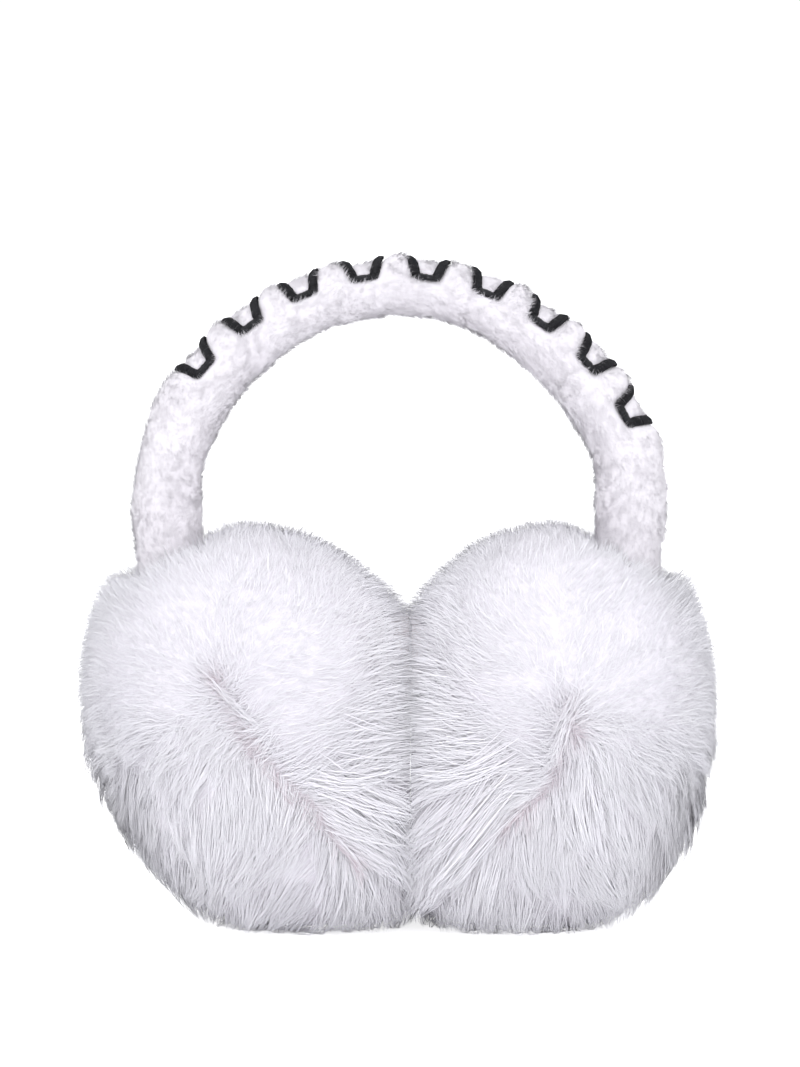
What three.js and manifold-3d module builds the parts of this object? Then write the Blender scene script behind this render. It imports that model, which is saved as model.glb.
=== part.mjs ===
// Fur earmuffs: a plush-covered headband with a row of stitched hexagons, and two long-haired ear pads.
// Millimetres, +Z up. X runs from the left pad to the right one as seen in front, and Y runs away from the viewer.
// The earmuffs stand on the flattened undersides of the pads, and the origin is on the floor under their middle.
import * as THREE from "three";
import { mergeVertices } from "three/addons/utils/BufferGeometryUtils.js";
import Module from "manifold-3d";

// Headband: the arch of its middle line, and the section of its padded plush tube
const ARCH_HALF_SPAN = 79; // the arch's middle to the tube's middle, at the arch's widest level
const ARCH_RISE = 72.5; // from the widest level up to the tube's middle at the crown
const ARCH_SLACK_LEFT = 1.6; // how far the arch hangs inside a true ellipse, halfway up the left shoulder
const ARCH_SLACK_RIGHT = 2.2; // the same on the right
const ARCH_LEVEL = 145; // the widest level above the floor
const LEG_RADIUS = 100; // half-height of the ellipse that the legs follow below the widest level
const LEG_DROP = 50; // how far the legs run below the widest level, into the pads
const LEG_THICKNESS = 25; // of the tube, across the arch, in the legs
const CROWN_THICKNESS = 21; // of the tube, across the arch, at the crown
const BAND_DEPTH = 27; // of the tube, from front to back
const BAND_RINGS = 66; // sections along the tube
const BAND_SIDES = 12; // facets round the tube

// Stitched motif: a hexagon outline in thread, pressed into the plush across the top of the band
const MOTIF_COUNT = 9;
const MOTIF_PITCH = 20; // along the tube's middle line
const MOTIF_SHIFT = 9; // the row's middle, to the right of the crown
const MOTIF_LENGTH = 14; // along the tube's middle line, from point to point
const MOTIF_FLAT = 9.5; // along the tube's middle line, of the front side and of the back one
const MOTIF_WRAP = 30; // round the tube, from the front side to the back one
const MOTIF_STROKE = 3.2; // width of the stitched line
const MOTIF_SPANS = 3; // steps along each slanting side
const THREAD_THICKNESS = 1.5;
const THREAD_SINK = 0.9; // from the plush down to the top of the thread
const PLUSH_BULGE = 1.8; // how far the plush swells between two motifs

// Ear pads: the reach of the fur from the pad's middle, squashed flat below and where the pads press together
const MEETING_X = 4; // where the pads meet, from the arch's middle
const PAD_LEVEL = 69; // the pads' middle above the floor
const PAD_REACH_UP = 71;
const PAD_REACH_DOWN = 74; // on the outer side, as if there were no floor
const PAD_REACH_DOWN_IN = 84; // on the side of the other pad, where the weight pushes the fur out
const PAD_REACH_SIDE = 69; // to the front and to the back
const PAD_REACH_IN_LOW = 76; // towards the other pad near the floor, as if that pad weren't there
const PAD_FULLNESS_IN = 2.4; // 2 on an ellipsoid, and more where the shoulders are square
const LEFT_PAD_MIDDLE = 57; // from where the pads meet
const LEFT_PAD_REACH_OUT = 57;
const LEFT_PAD_REACH_IN = 66; // towards the other pad in the upper half, as if that pad weren't there
const RIGHT_PAD_MIDDLE = 53;
const RIGHT_PAD_REACH_OUT = 53;
const RIGHT_PAD_REACH_IN = 60;

// Each pad's shape: fullness is that of its outer side, lean is outwards for each millimetre up, and a whorl is a
// little way out and up from the point at the very front.
const PADS = [
  {
    name: "left",
    side: -1,
    middle: LEFT_PAD_MIDDLE,
    reachOut: LEFT_PAD_REACH_OUT,
    reachIn: LEFT_PAD_REACH_IN,
    lean: 0.09,
    fullnessAbove: 2.3,
    fullnessBelow: 1.9,
    whorlOut: 0.06,
    whorlUp: 0.22,
  },
  {
    name: "right",
    side: 1,
    middle: RIGHT_PAD_MIDDLE,
    reachOut: RIGHT_PAD_REACH_OUT,
    reachIn: RIGHT_PAD_REACH_IN,
    lean: 0.02,
    fullnessAbove: 2.4,
    fullnessBelow: 2.15,
    whorlOut: -0.04,
    whorlUp: 0.13,
  },
];

// Fur: locks that lie away from a whorl at the pad's front and another at its back
const LOCK_COUNT = 54; // on each pad
const LOCK_STAND = 8; // from the backing up to the locks' tips
const LOCK_STAND_PRESSED = 3; // the same, where the pads press together and where they stand
const LOCK_ROOT_WIDTH = 34;
const LOCK_ROOT_THICKNESS = 18;
const LOCK_SWEEP = 0.34; // radians that a tip is combed past its root, at most
const LOCK_DROOP = 0.06; // how far a tip sinks under its weight, as a share of the reach
const LOCK_SIDES = 5;
const BACKING_DETAIL = 3; // subdivisions of the backing's icosahedron

// Ear facing: the short-haired cushion on the side of each pad that lies on the ear
const FACING_RADIUS = 39;
const FACING_THICKNESS = 9;
const FACING_EDGE = 3; // radius of its rounded edge
const FACING_SIDES = 24;

// Clearance between neighbouring pieces
const GAP = 0.3;

const PLUSH_WHITE = new THREE.MeshStandardMaterial({ color: 0xf3f0f4, roughness: 0.95, metalness: 0 });
const FUR_WHITE = new THREE.MeshStandardMaterial({ color: 0xf0eef5, roughness: 0.9, metalness: 0 });
const FACING_WHITE = new THREE.MeshStandardMaterial({ color: 0xeee6ea, roughness: 0.95, metalness: 0 });
const THREAD_BLACK = new THREE.MeshStandardMaterial({ color: 0x17171b, roughness: 0.6, metalness: 0 });

const wasm = await Module();
wasm.setup();

// A closed geometry as a manifold-3d solid.
function solidOf(geometry) {
  const bare = new THREE.BufferGeometry();
  bare.setAttribute("position", geometry.getAttribute("position"));
  bare.setIndex(geometry.index);
  const merged = mergeVertices(bare, 1e-3);
  const mesh = new wasm.Mesh({
    numProp: 3,
    vertProperties: new Float32Array(merged.attributes.position.array),
    triVerts: new Uint32Array(merged.index.array),
  });
  return new wasm.Manifold(mesh);
}

// A manifold-3d solid as a geometry.
function geometryOf(solid) {
  const mesh = solid.getMesh();
  const geometry = new THREE.BufferGeometry();
  geometry.setAttribute("position", new THREE.BufferAttribute(mesh.vertProperties, 3));
  geometry.setIndex(new THREE.BufferAttribute(mesh.triVerts, 1));
  geometry.computeVertexNormals();
  return geometry;
}

// The largest of a solid's separate bodies.
function largestBody(solid) {
  return solid.decompose().reduce((best, body) => (body.volume() > best.volume() ? body : best));
}

// A closed skin over a stack of rings that have as many points each; a ring of one point is a tip.
function skinOf(rings) {
  const points = rings.flat();
  const starts = [];
  rings.reduce((start, ring) => (starts.push(start), start + ring.length), 0);
  const faces = [];
  for (let r = 0; r + 1 < rings.length; r++) {
    const sides = Math.max(rings[r].length, rings[r + 1].length);
    const at = (ring, k) => starts[ring] + (k % rings[ring].length);
    for (let k = 0; k < sides; k++) {
      if (rings[r].length > 1) faces.push(at(r, k), at(r, k + 1), at(r + 1, k));
      if (rings[r + 1].length > 1) faces.push(at(r, k + 1), at(r + 1, k + 1), at(r + 1, k));
    }
  }
  const cap = (ring, turned) => {
    for (let k = 1; k + 1 < rings[ring].length; k++) {
      const [b, c] = turned ? [k + 1, k] : [k, k + 1];
      faces.push(starts[ring], starts[ring] + b, starts[ring] + c);
    }
  };
  cap(0, true);
  cap(rings.length - 1, false);
  const geometry = new THREE.BufferGeometry().setFromPoints(points);
  return geometry.setIndex(faces);
}

// The headband's middle line: an arch over the head whose legs turn in towards the pads' middles.
class BandLine extends THREE.Curve {
  getPoint(t, target = new THREE.Vector3()) {
    const legAngle = Math.asin(LEG_DROP / LEG_RADIUS);
    const angle = THREE.MathUtils.lerp(Math.PI + legAngle, -legAngle, t);
    const rise = Math.sin(angle) > 0 ? ARCH_RISE : LEG_RADIUS;
    target.set(ARCH_HALF_SPAN * Math.cos(angle), 0, rise * Math.sin(angle));
    if (angle > 0 && angle < Math.PI) {
      const slack = angle > Math.PI / 2 ? ARCH_SLACK_LEFT : ARCH_SLACK_RIGHT;
      target.setLength(target.length() - slack * Math.sin(2 * angle) ** 2);
    }
    target.z += ARCH_LEVEL;
    return target;
  }
}

const bandLine = new BandLine();
bandLine.arcLengthDivisions = 800;
const BAND_LENGTH = bandLine.getLength();
const CROWN_AT = BAND_LENGTH / 2;
const FIRST_MOTIF_AT = CROWN_AT + MOTIF_SHIFT - (MOTIF_PITCH * (MOTIF_COUNT - 1)) / 2;

// How much the plush swells at a distance along the band: nothing at a motif, all of it between two.
function swellAt(along) {
  const steps = (along - FIRST_MOTIF_AT) / MOTIF_PITCH;
  if (steps < -1 || steps > MOTIF_COUNT) return 0;
  return (PLUSH_BULGE * (1 - Math.cos(2 * Math.PI * steps))) / 2;
}

// A point on the band's surface, or proud of it: distance along the band, angle round it from its outer side.
function bandPoint(along, angle, proud = 0) {
  const t = THREE.MathUtils.clamp(along / BAND_LENGTH, 0, 1);
  const tangent = bandLine.getTangentAt(t);
  const outward = new THREE.Vector3(-tangent.z, 0, tangent.x);
  const fromCrown = Math.abs(along - CROWN_AT) / CROWN_AT;
  const thickness = THREE.MathUtils.lerp(CROWN_THICKNESS, LEG_THICKNESS, THREE.MathUtils.smoothstep(fromCrown, 0, 0.6));
  const swell = swellAt(along) * Math.max(0, Math.cos(angle));
  const across = (thickness / 2 + swell + proud) * Math.cos(angle);
  const back = (BAND_DEPTH / 2 + proud) * Math.sin(angle);
  return bandLine.getPointAt(t).addScaledVector(outward, across).add(new THREE.Vector3(0, back, 0));
}

// The band's tube, proud of its true surface by some amount.
function bandTube(proud) {
  const rings = [];
  for (let r = 0; r <= BAND_RINGS; r++) {
    const ring = [];
    for (let k = 0; k < BAND_SIDES; k++) {
      ring.push(bandPoint((BAND_LENGTH * r) / BAND_RINGS, (-2 * Math.PI * k) / BAND_SIDES, proud));
    }
    rings.push(ring);
  }
  return solidOf(skinOf(rings));
}

// A hexagon's corners, as distances along the band and round it, drawn in by some amount on every side.
function hexagon(inset) {
  const [point, flat, wrap] = [MOTIF_LENGTH / 2, MOTIF_FLAT / 2, MOTIF_WRAP / 2];
  const slant = Math.hypot(point - flat, wrap);
  const [tip, edge] = [point - (inset * slant) / wrap, wrap - inset];
  const corner = tip - ((point - flat) * edge) / wrap;
  return [[tip, 0], [corner, edge], [-corner, edge], [-tip, 0], [-corner, -edge], [corner, -edge]];
}

// A hexagon outline laid on the band, as a solid: grow widens its line, and it reaches from one depth to another.
function hexagonOnBand(index, grow, low, high) {
  const middle = FIRST_MOTIF_AT + MOTIF_PITCH * index;
  const radius = (CROWN_THICKNESS + BAND_DEPTH) / 4;
  const [outer, inner] = [hexagon(-grow), hexagon(MOTIF_STROKE + grow)];
  const rings = [];
  for (let side = 0; side < outer.length; side++) {
    const next = (side + 1) % outer.length;
    const spans = side % 3 === 1 ? 1 : MOTIF_SPANS;
    for (let step = 0; step < spans; step++) {
      const place = (corners, proud) => {
        const along = THREE.MathUtils.lerp(corners[side][0], corners[next][0], step / spans);
        const round = THREE.MathUtils.lerp(corners[side][1], corners[next][1], step / spans);
        return bandPoint(middle + along, round / radius, proud);
      };
      rings.push([place(outer, low), place(inner, low), place(inner, high), place(outer, high)]);
    }
  }
  return solidOf(closedLoop(rings));
}

// A closed skin over rings that run round in a loop, the last one joined to the first.
function closedLoop(rings) {
  const sides = rings[0].length;
  const faces = [];
  rings.forEach((ring, r) => {
    const next = ((r + 1) % rings.length) * sides;
    for (let k = 0; k < sides; k++) {
      const [a, b] = [r * sides + k, r * sides + ((k + 1) % sides)];
      const [c, d] = [next + k, next + ((k + 1) % sides)];
      faces.push(a, b, c, b, d, c);
    }
  });
  return new THREE.BufferGeometry().setFromPoints(rings.flat()).setIndex(faces);
}

// The headband, with a groove for each motif.
function makeHeadband() {
  let band = bandTube(0);
  for (let i = 0; i < MOTIF_COUNT; i++) {
    const floor = -THREAD_SINK - THREAD_THICKNESS - GAP;
    band = band.subtract(hexagonOnBand(i, GAP, floor, PLUSH_BULGE + GAP));
  }
  return geometryOf(band);
}

// The stitched hexagons, each in its groove.
function makeMotifs() {
  const motifs = [];
  for (let i = 0; i < MOTIF_COUNT; i++) {
    const solid = hexagonOnBand(i, 0, -THREAD_SINK - THREAD_THICKNESS, -THREAD_SINK);
    motifs.push({ name: "motif_" + (i + 1), geometry: geometryOf(solid) });
  }
  return motifs;
}

// A point of a pad's fur in a direction from its middle, at a depth that is 0 at the locks' tips and 1 at the backing.
// Directions are the pad's own: x outwards from the other pad, y to the back, z up.
function padPoint(pad, direction, depth) {
  const { lerp, smoothstep } = THREE.MathUtils;
  const inward = lerp(PAD_REACH_IN_LOW, pad.reachIn, smoothstep(direction.z, -0.7, 0.5));
  const down = lerp(PAD_REACH_DOWN_IN, PAD_REACH_DOWN, smoothstep(direction.x, -0.7, 0.3));
  const reach = [
    direction.x > 0 ? pad.reachOut - depth * LOCK_STAND : inward - depth * LOCK_STAND_PRESSED,
    PAD_REACH_SIDE - depth * LOCK_STAND,
    direction.z > 0 ? PAD_REACH_UP - depth * LOCK_STAND : down - depth * LOCK_STAND_PRESSED,
  ];
  const fullnessOut = lerp(pad.fullnessBelow, pad.fullnessAbove, smoothstep(direction.z, -0.3, 0.3));
  const fullness = lerp(PAD_FULLNESS_IN, fullnessOut, smoothstep(direction.x, -0.5, 0.3));
  const shares = direction.toArray().map((d, i) => Math.abs(d / reach[i]) ** fullness);
  const length = shares.reduce((a, b) => a + b) ** (-1 / fullness);
  const point = direction.clone().multiplyScalar(length);
  point.x += pad.lean * point.z;
  const middle = MEETING_X + pad.side * pad.middle;
  return new THREE.Vector3(middle + pad.side * point.x, point.y, PAD_LEVEL + point.z);
}

// The dense fur that the locks grow from.
function padBacking(pad) {
  const sphere = new THREE.IcosahedronGeometry(1, BACKING_DETAIL);
  const positions = sphere.getAttribute("position");
  const faces = [];
  for (let i = 0; i < positions.count; i++) {
    const direction = new THREE.Vector3().fromBufferAttribute(positions, i).normalize();
    positions.setXYZ(i, ...padPoint(pad, direction, 1).toArray());
    faces.push(i);
  }
  if (pad.side < 0) faces.reverse();
  return solidOf(sphere.setIndex(faces));
}

// Where a lock that grows in one direction has its tip: combed away from the nearer whorl, and drooping.
function combed(pad, direction) {
  const whorl = new THREE.Vector3(pad.whorlOut, Math.sign(direction.y) || 1, pad.whorlUp).normalize();
  const axis = new THREE.Vector3().crossVectors(whorl, direction);
  if (axis.length() < 1e-6) return direction.clone();
  const away = whorl.angleTo(direction);
  const tip = direction.clone().applyAxisAngle(axis.normalize(), LOCK_SWEEP * Math.sin(2 * away));
  tip.z -= LOCK_DROOP;
  return tip.normalize();
}

// One lock: a flat horn whose root is sunk in the backing and whose tip bends over.
function lockOf(pad, direction) {
  const root = padPoint(pad, direction, 1 + LOCK_ROOT_THICKNESS / 2 / LOCK_STAND);
  const shoulder = padPoint(pad, direction.clone().lerp(combed(pad, direction), 0.4).normalize(), 0.4);
  const tip = padPoint(pad, combed(pad, direction), 0);
  const spine = new THREE.QuadraticBezierCurve3(root, shoulder, tip);
  const up = new THREE.Vector3().subVectors(shoulder, root).normalize();
  const across = new THREE.Vector3().crossVectors(up, new THREE.Vector3().subVectors(tip, root));
  if (across.length() < 1) across.crossVectors(up, new THREE.Vector3(1, 0, 0));
  across.normalize();
  const rings = [0, 0.6].map((t) => {
    const tangent = spine.getTangent(t);
    const flat = new THREE.Vector3().crossVectors(tangent, across).normalize();
    const side = new THREE.Vector3().crossVectors(flat, tangent).normalize();
    const taper = 1 - t * t;
    return Array.from({ length: LOCK_SIDES }, (_, k) => {
      const angle = (2 * Math.PI * k) / LOCK_SIDES;
      return spine
        .getPoint(t)
        .addScaledVector(side, ((taper * LOCK_ROOT_WIDTH) / 2) * Math.cos(angle))
        .addScaledVector(flat, ((taper * LOCK_ROOT_THICKNESS) / 2) * Math.sin(angle));
    });
  });
  rings.push([tip]);
  const solid = solidOf(skinOf(rings));
  return solid.volume() < 0 ? solidOf(skinOf(rings.map((ring) => ring.slice().reverse()))) : solid;
}

// Directions spread evenly over a sphere, from the front whorl round to the back one.
function evenDirections(count) {
  const golden = Math.PI * (3 - Math.sqrt(5));
  return Array.from({ length: count }, (_, i) => {
    const y = -1 + (2 * i + 1) / count;
    const radius = Math.sqrt(1 - y * y);
    return new THREE.Vector3(radius * Math.cos(golden * i), y, radius * Math.sin(golden * i));
  });
}

// The half-space that a pad has to itself, above the floor and on its own side of the meeting plane.
function padRoom(pad) {
  const size = 4 * (PAD_REACH_UP + PAD_REACH_DOWN + pad.reachOut + pad.reachIn);
  const box = new THREE.BoxGeometry(size, size, size);
  box.translate(MEETING_X + pad.side * (size / 2 + GAP), 0, size / 2);
  return solidOf(box);
}

// An ear facing's round cushion, proud of its true size by some amount, with its flat side at the meeting plane.
function facingSolid(pad, proud) {
  const [radius, depth] = [FACING_RADIUS + proud, FACING_THICKNESS + proud];
  const edge = FACING_EDGE;
  const profile = new THREE.Path();
  profile.moveTo(0, proud ? -proud : 0);
  profile.lineTo(radius, proud ? -proud : 0);
  profile.lineTo(radius, depth - edge);
  profile.absarc(radius - edge, depth - edge, edge, 0, Math.PI / 2, false);
  profile.lineTo(0, depth);
  const lathe = new THREE.LatheGeometry(profile.getPoints(2), FACING_SIDES);
  lathe.rotateZ((-pad.side * Math.PI) / 2);
  lathe.translate(MEETING_X + pad.side * GAP, 0, PAD_LEVEL);
  return solidOf(lathe);
}

// A pad: its locks fused to their backing, flat on the floor and against the other pad.
function makePad(pad) {
  const locks = evenDirections(LOCK_COUNT).map((direction) => lockOf(pad, direction));
  const fur = wasm.Manifold.union([padBacking(pad), ...locks]).intersect(padRoom(pad));
  return geometryOf(largestBody(fur.subtract(bandTube(GAP)).subtract(facingSolid(pad, GAP))));
}

const earmuffs = new THREE.Group();

function addPiece(name, geometry, material) {
  const mesh = new THREE.Mesh(geometry, material);
  mesh.name = name;
  earmuffs.add(mesh);
}

addPiece("headband", makeHeadband(), PLUSH_WHITE);
for (const { name, geometry } of makeMotifs()) addPiece(name, geometry, THREAD_BLACK);
for (const pad of PADS) {
  addPiece(pad.name + "_fur_pad", makePad(pad), FUR_WHITE);
  addPiece(pad.name + "_ear_facing", geometryOf(facingSolid(pad, 0)), FACING_WHITE);
}

// The origin is on the floor, under the middle of the whole.
const bounds = new THREE.Box3().setFromObject(earmuffs);
const centre = bounds.getCenter(new THREE.Vector3());
for (const mesh of earmuffs.children) mesh.geometry.translate(-centre.x, -centre.y, -bounds.min.z);

export default earmuffs;
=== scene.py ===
"""Fur earmuffs: the coat of the two pads, the plush of the headband and its stitched hexagons.

Sizes are in millimetres, as in the part's source, and become metres where a mesh is made.
"""

import logging
import math
from dataclasses import dataclass
from enum import Enum
from functools import cached_property

import bmesh
import bpy
import numpy as np
from bpy.types import Material, Mesh, Node, NodeTree, Object
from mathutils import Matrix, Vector, noise


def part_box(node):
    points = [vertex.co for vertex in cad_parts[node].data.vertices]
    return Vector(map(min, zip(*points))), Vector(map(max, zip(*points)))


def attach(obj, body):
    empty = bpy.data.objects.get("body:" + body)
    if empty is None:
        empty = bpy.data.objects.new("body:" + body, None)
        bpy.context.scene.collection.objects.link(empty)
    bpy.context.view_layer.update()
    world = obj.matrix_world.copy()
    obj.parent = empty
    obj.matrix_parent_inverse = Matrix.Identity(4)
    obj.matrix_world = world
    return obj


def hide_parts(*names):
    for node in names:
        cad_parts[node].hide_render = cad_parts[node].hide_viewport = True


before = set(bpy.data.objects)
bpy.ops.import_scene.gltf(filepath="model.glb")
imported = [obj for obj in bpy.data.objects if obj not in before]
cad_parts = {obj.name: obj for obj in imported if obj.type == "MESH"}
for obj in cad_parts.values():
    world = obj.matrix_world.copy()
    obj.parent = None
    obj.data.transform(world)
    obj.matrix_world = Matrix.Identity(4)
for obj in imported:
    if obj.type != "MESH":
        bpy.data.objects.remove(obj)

log = logging.getLogger("earmuffs")
MM = 0.001
TINY = 1e-6
BAND_SHIFT = 4.0
DRIFT_PLACES = ((0.0, 0.0, 0.0), (31.4, 7.7, 3.1), (5.2, 44.9, 12.6))
DRIFT_GAIN = 1.6
OWN_NORMAL_SHARE = 0.22
HAIR_FLATNESS = 0.6
LIT_OUTWARDS = (1.0, 1.0, 0.75)
LIT_INWARDS = (0.45, 1.0, 0.3)
BACKWARDS = np.array([0.0, 1.0, 0.0])
PILE_GROUP = "pile_variation"
Array = np.ndarray
Colour = tuple[float, float, float]
Constants = dict[str | int, float | tuple[float, ...]]


class Side(Enum):
    """Which ear a piece is for, as seen in front."""

    LEFT = -1
    RIGHT = 1

    @property
    def word(self) -> str:
        """The side's name in lower case."""
        return self.name.lower()


def smoothstep(value: Array, low: float, high: float) -> Array:
    """Eases from 0 where the value is low to 1 where it is high."""
    share = np.clip((value - low) / (high - low), 0.0, 1.0)
    return share * share * (3 - 2 * share)


def mix(start: Array, end: Array, share: Array) -> Array:
    """Goes from start to end as share goes from 0 to 1."""
    return start + (end - start) * share


def bell(distance: Array, width: float) -> Array:
    """Falls from 1 where the distance is 0 towards 0 past the width."""
    return np.exp(-((distance / width) ** 2))


def unit(vectors: Array) -> Array:
    """The directions of the rows of vectors, each of length 1."""
    length = np.linalg.norm(vectors, axis=-1, keepdims=True)
    return vectors / np.maximum(length, 1e-9)


def row_dot(a: Array, b: Array) -> Array:
    """The dot product of each row of a with the same row of b, as a column."""
    return np.sum(a * b, axis=-1, keepdims=True)


def flattened(vectors: Array, normals: Array) -> Array:
    """What is left of each vector along the surface that has the normal."""
    return vectors - normals * row_dot(vectors, normals)


def wrapped(angle: Array) -> Array:
    """Angles brought to between half a turn back and half a turn on."""
    return (angle + math.pi) % (2 * math.pi) - math.pi


def table_at(distances: Array, places: Array, rows: Array) -> Array:
    """The rows that belong to the places, read between at the distances."""
    return np.stack([np.interp(distances, places, column) for column in rows.T], axis=-1)


def drift(points: Array, size: float) -> Array:
    """Directions that wander smoothly from point to point, over distances of about the size."""
    parts = [Vector(place) for place in DRIFT_PLACES]
    sized = [Vector(point) / size for point in points]
    return DRIFT_GAIN * np.array([[noise.noise(point + part) for part in parts] for point in sized])


def nearest(points: Array, centres: Array) -> Array:
    """Finds the centre that is nearest to each point.

    Args:
        points: Rows of three numbers.
        centres: Rows of three numbers.

    Returns:
        An index into centres for each point.
    """
    squares = np.sum(centres**2, axis=1)
    own = np.empty(len(points), dtype=int)
    for part in np.array_split(np.arange(len(points)), max(1, len(points) * len(centres) // 8_000_000)):
        own[part] = np.argmin(squares[None] - 2 * points[part] @ centres.T, axis=1)
    return own


@dataclass(frozen=True)
class Anchor:
    """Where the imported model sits: the plane between the pads and the headband's middle plane."""

    meeting_x: float
    band_x: float
    band_y: float

    @classmethod
    def from_frame(cls) -> "Anchor":
        """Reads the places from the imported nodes.

        Returns:
            The places in millimetres.
        """
        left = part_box("left_fur_pad")[1].x
        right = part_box("right_fur_pad")[0].x
        low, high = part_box("headband")
        meeting_x = (left + right) / 2 / MM
        return cls(meeting_x, meeting_x - BAND_SHIFT, (low.y + high.y) / 2 / MM)


@dataclass(frozen=True)
class BandShape:
    """The headband's middle line and the section of its tube, as in the part's source."""

    anchor: Anchor
    half_span: float = 79.0
    rise: float = 72.5
    slack_left: float = 1.6
    slack_right: float = 2.2
    level: float = 145.0
    leg_radius: float = 100.0
    leg_drop: float = 50.0
    leg_length: float = 75.0
    leg_thickness: float = 25.0
    crown_thickness: float = 21.0
    depth: float = 27.0
    motif_count: int = 9
    motif_pitch: float = 20.0
    motif_shift: float = 9.0
    bulge: float = 1.8

    @cached_property
    def table(self) -> tuple[Array, Array]:
        """Works out the middle line once.

        Returns:
            Distances along it, and its points.
        """
        leg_angle = math.asin(self.leg_drop / self.leg_radius)
        angle = np.linspace(math.pi + leg_angle, -leg_angle, 4001)
        rise = np.where(np.sin(angle) > 0, self.rise, self.leg_radius)
        x, z = self.half_span * np.cos(angle), rise * np.sin(angle)
        slack = np.where(angle > math.pi / 2, self.slack_left, self.slack_right)
        slack = np.where(z > 0, slack * np.sin(2 * angle) ** 2, 0.0)
        shrink = 1 - slack / np.hypot(x, z)
        points = np.stack([x * shrink, np.zeros_like(x), z * shrink + self.level], axis=1)
        points += (self.anchor.band_x, self.anchor.band_y, 0.0)
        steps = np.linalg.norm(np.diff(points, axis=0), axis=1)
        return np.concatenate([[0.0], np.cumsum(steps)]), points

    @property
    def length(self) -> float:
        """Length of the middle line."""
        return float(self.table[0][-1])

    @property
    def first_motif(self) -> float:
        """Distance along the band of the first motif's middle."""
        return self.length / 2 + self.motif_shift - self.motif_pitch * (self.motif_count - 1) / 2

    @property
    def leg_half(self) -> float:
        """Half the mean thickness of a leg."""
        return (self.leg_thickness + self.depth) / 4

    def line(self, along: Array) -> Array:
        """Points of the middle line at distances along the band."""
        return table_at(along, *self.table)

    def tangent(self, along: Array) -> Array:
        """Directions of the middle line, towards the right pad, at distances along the band."""
        low = np.clip(along - 0.5, 0, self.length - 1)
        return unit(self.line(low + 1) - self.line(low))

    def outward(self, along: Array) -> Array:
        """Directions away from the head at distances along the band."""
        tangent = self.tangent(along)
        return np.stack([-tangent[..., 2], np.zeros_like(along), tangent[..., 0]], axis=-1)

    def thickness(self, along: Array) -> Array:
        """Thickness of the tube across the arch at distances along the band."""
        from_crown = np.abs(along - self.length / 2) / (self.length / 2)
        return mix(self.crown_thickness, self.leg_thickness, smoothstep(from_crown, 0, 0.6))

    def swell(self, along: Array) -> Array:
        """How far the plush swells between motifs at distances along the band."""
        steps = (along - self.first_motif) / self.motif_pitch
        inside = (steps >= -1) & (steps <= self.motif_count)
        return np.where(inside, self.bulge * (1 - np.cos(2 * math.pi * steps)) / 2, 0.0)

    def normal(self, along: Array, angle: Array) -> Array:
        """Directions straight out of the tube's skin.

        Args:
            along: Distances along the band.
            angle: Angles round it from its outer side, towards the back.

        Returns:
            A row of x, y and z for each point.
        """
        across = np.cos(angle) / (self.thickness(along) / 2)
        back = np.sin(angle) / (self.depth / 2)
        return unit(self.outward(along) * across[..., None] + BACKWARDS * back[..., None])

    def point(self, along: Array, angle: Array, proud: Array) -> Array:
        """Points on the tube, or proud of it.

        Args:
            along: Distances along the band.
            angle: Angles round it from its outer side, towards the back.
            proud: How far each point stands out from the true skin.

        Returns:
            A row of x, y and z for each point.
        """
        swell = self.swell(along) * np.maximum(0, np.cos(angle))
        across = (self.thickness(along) / 2 + swell + proud) * np.cos(angle)
        back = (self.depth / 2 + proud) * np.sin(angle)
        middle = self.line(along) + self.outward(along) * across[..., None]
        return middle + BACKWARDS * back[..., None]

    def push_out(self, points: Array, clear: float) -> Array:
        """Moves points that are in the legs of the band out to its skin.

        Args:
            points: Rows of x, y and z.
            clear: How far from the skin they end.

        Returns:
            The moved points.
        """
        middles, gap, away = self.from_legs(points)
        radius = self.leg_half + clear
        out = middles + gap / np.maximum(away, TINY)[..., None] * radius
        return np.where((away < radius)[..., None], out, points)

    def from_legs(self, points: Array) -> tuple[Array, Array, Array]:
        """Measures points from the middle line of the nearer leg.

        Args:
            points: Rows of x, y and z.

        Returns:
            The nearest places on the legs' lines, the ways from them to the points, and their lengths.
        """
        left = np.linspace(0, self.leg_length, 40)
        right = np.linspace(self.length - self.leg_length, self.length, 40)
        places = self.line(np.concatenate([left, right]))
        flat = points.reshape(-1, 3)
        own = np.zeros(len(flat), dtype=int)
        for part in np.array_split(np.arange(len(flat)), max(1, len(flat) // 20000)):
            own[part] = np.argmin(np.sum((flat[part][:, None] - places[None]) ** 2, axis=2), axis=1)
        middles = places[own].reshape(points.shape)
        gap = points - middles
        return middles, gap, np.linalg.norm(gap, axis=-1)


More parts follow.
